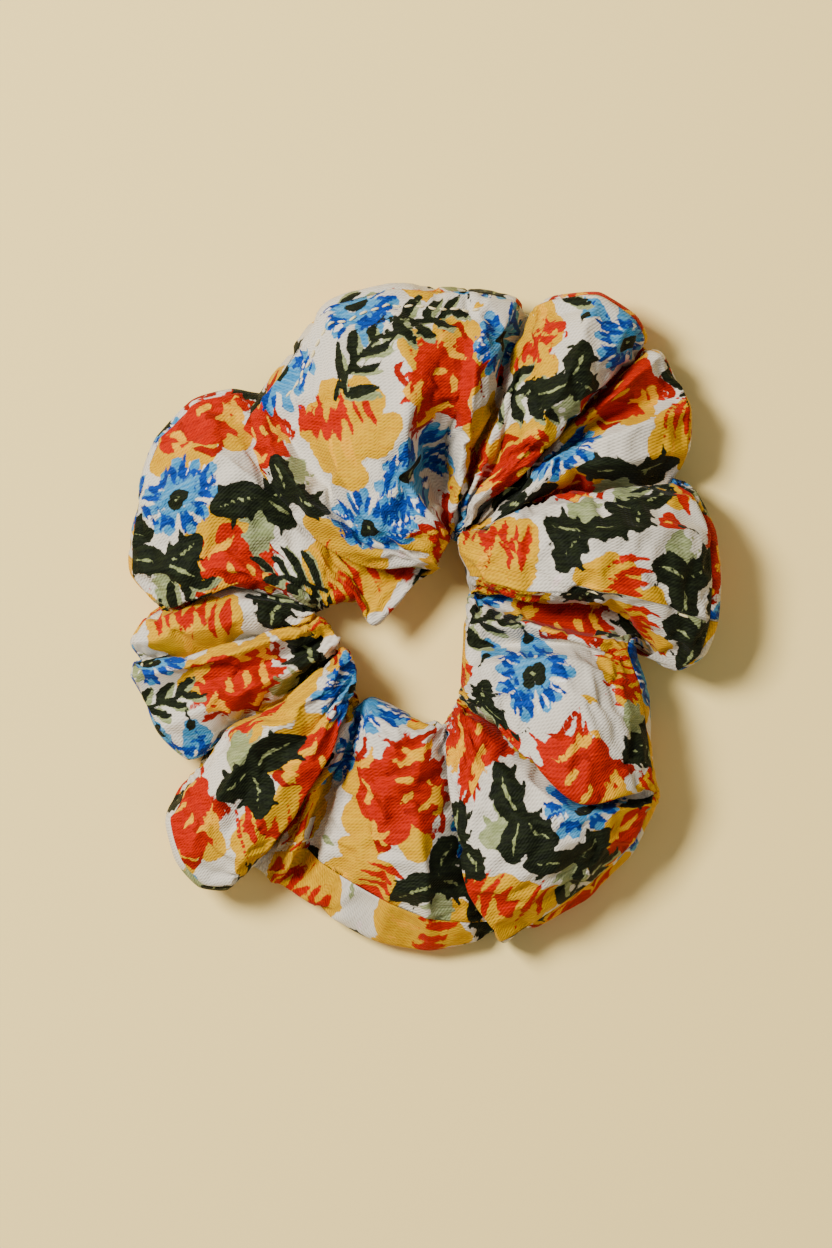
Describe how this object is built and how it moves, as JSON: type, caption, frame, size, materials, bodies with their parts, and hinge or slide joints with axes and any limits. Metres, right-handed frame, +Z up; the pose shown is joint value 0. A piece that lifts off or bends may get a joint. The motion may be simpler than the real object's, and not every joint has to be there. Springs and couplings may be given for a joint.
{
  "type": "scrunchie",
  "caption": "Printed cloth tube gathered in soft puffs on a flat elastic loop, open in the middle for a hair tie, lying flat.",
  "frame": {"origin": "middle of the outline, on the surface that the scrunchie lies on", "axes": "+Z up through the hair opening, +Y along the longer way across the outline, +X the way that it is stretched open"},
  "size_m": [0.1004, 0.1152, 0.028],
  "materials": {
    "printed_cloth": "light woven viscose with a large floral print on off-white, soft sheen",
    "elastic": "braided elastic, off-white",
    "thread": "cream sewing thread"
  },
  "bodies": {
    "left": {"puff_left": "printed_cloth", "elastic_band": "elastic", "elastic_join_stitches": "thread", "long_seam_thread": "thread"},
    "right": {"puff_right": "printed_cloth", "cross_seam_thread": "thread"},
    "upper_right": {"puff_upper_right": "printed_cloth"},
    "top_right": {"puff_top_right": "printed_cloth"},
    "top_left": {"puff_top_left": "printed_cloth", "closing_topstitch": "thread"},
    "upper_left": {"puff_upper_left": "printed_cloth"},
    "lower_left": {"puff_lower_left": "printed_cloth"},
    "bottom": {"puff_bottom": "printed_cloth"},
    "bottom_right": {"puff_bottom_right": "printed_cloth"},
    "lower_right": {"puff_lower_right": "printed_cloth"}
  },
  "joints": [
    {"name": "stretch", "type": "slide", "parent": "left", "child": "right", "axis": [1, 0, 0], "range_m": [0, 0.07], "stiffness_N_per_m": 110, "deforming": ["elastic_band", "long_seam_thread"]},
    {"name": "stretch_upper_right", "type": "slide", "parent": "left", "child": "upper_right", "axis": [1, 0, 0], "range_m": [0, 0.0644]},
    {"name": "stretch_top_right", "type": "slide", "parent": "left", "child": "top_right", "axis": [1, 0, 0], "range_m": [0, 0.0574]},
    {"name": "stretch_top_left", "type": "slide", "parent": "left", "child": "top_left", "axis": [1, 0, 0], "range_m": [0, 0.0287]},
    {"name": "stretch_upper_left", "type": "slide", "parent": "left", "child": "upper_left", "axis": [1, 0, 0], "range_m": [0, 0.0035]},
    {"name": "stretch_lower_left", "type": "slide", "parent": "left", "child": "lower_left", "axis": [1, 0, 0], "range_m": [0, 0.0063]},
    {"name": "stretch_bottom", "type": "slide", "parent": "left", "child": "bottom", "axis": [1, 0, 0], "range_m": [0, 0.0259]},
    {"name": "stretch_bottom_right", "type": "slide", "parent": "left", "child": "bottom_right", "axis": [1, 0, 0], "range_m": [0, 0.0553]},
    {"name": "stretch_lower_right", "type": "slide", "parent": "left", "child": "lower_right", "axis": [1, 0, 0], "range_m": [0, 0.0665]}
  ],
  "couplings": [
    {"joint": "stretch_upper_right", "follows": "stretch", "ratio": 0.92},
    {"joint": "stretch_top_right", "follows": "stretch", "ratio": 0.82},
    {"joint": "stretch_top_left", "follows": "stretch", "ratio": 0.41},
    {"joint": "stretch_upper_left", "follows": "stretch", "ratio": 0.05},
    {"joint": "stretch_lower_left", "follows": "stretch", "ratio": 0.09},
    {"joint": "stretch_bottom", "follows": "stretch", "ratio": 0.37},
    {"joint": "stretch_bottom_right", "follows": "stretch", "ratio": 0.79},
    {"joint": "stretch_lower_right", "follows": "stretch", "ratio": 0.95}
  ]
}
